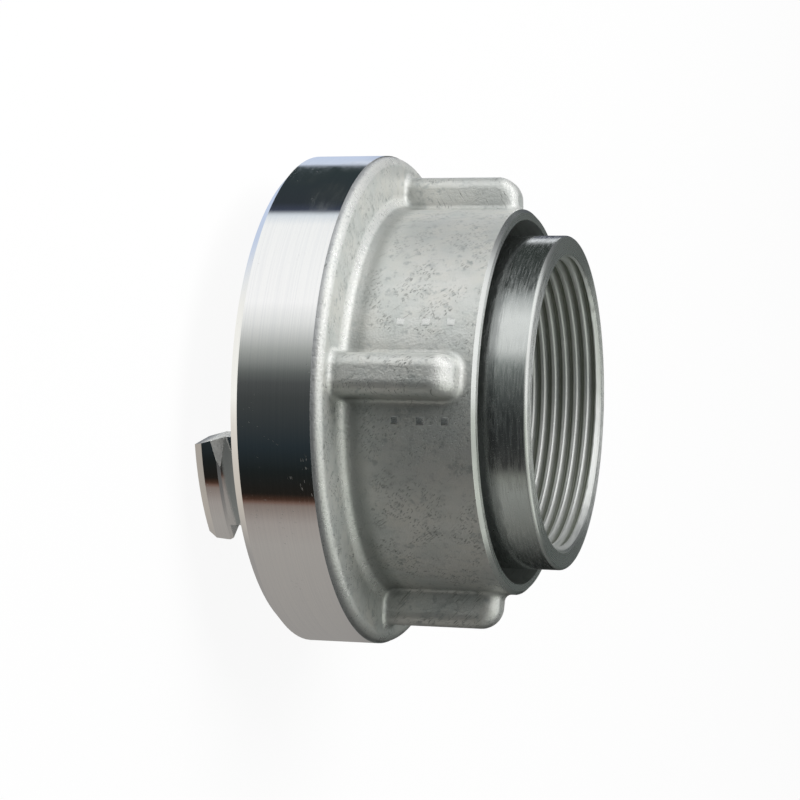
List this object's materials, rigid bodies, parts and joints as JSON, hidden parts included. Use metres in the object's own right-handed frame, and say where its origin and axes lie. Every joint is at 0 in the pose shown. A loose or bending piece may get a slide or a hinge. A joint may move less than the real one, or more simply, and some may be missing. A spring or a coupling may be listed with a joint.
{
  "type": "quarter-turn hose coupling",
  "caption": "Symmetrical claw coupling with a turned lug ring, hooked claws, wrench ribs and a swivelling socket with a female pipe thread.",
  "frame": {"origin": "on the axis of the waterway, in the plane of the claw tips that the coupling stands on", "axes": "+Z along the waterway, from the claws to the threaded end; the ribs lie on +X, +Y, -X and -Y"},
  "size_m": [0.098, 0.098, 0.0631],
  "materials": {
    "cast_aluminium": "tumbled casting with a polished turned band",
    "turned_aluminium": "satin, turned",
    "spring_steel": "drawn wire",
    "black_rubber": "moulded, matt"
  },
  "bodies": {
    "head": {"lug_ring": "cast_aluminium", "retaining_ring": "spring_steel"},
    "socket": {"threaded_socket": "turned_aluminium", "lip_seal": "black_rubber", "thread_gasket": "black_rubber"}
  },
  "joints": [
    {"name": "socket_swivel", "type": "hinge", "parent": "head", "child": "socket", "pos_m": [0, 0, 0.0253], "axis": [0, 0, 1], "continuous": true}
  ]
}
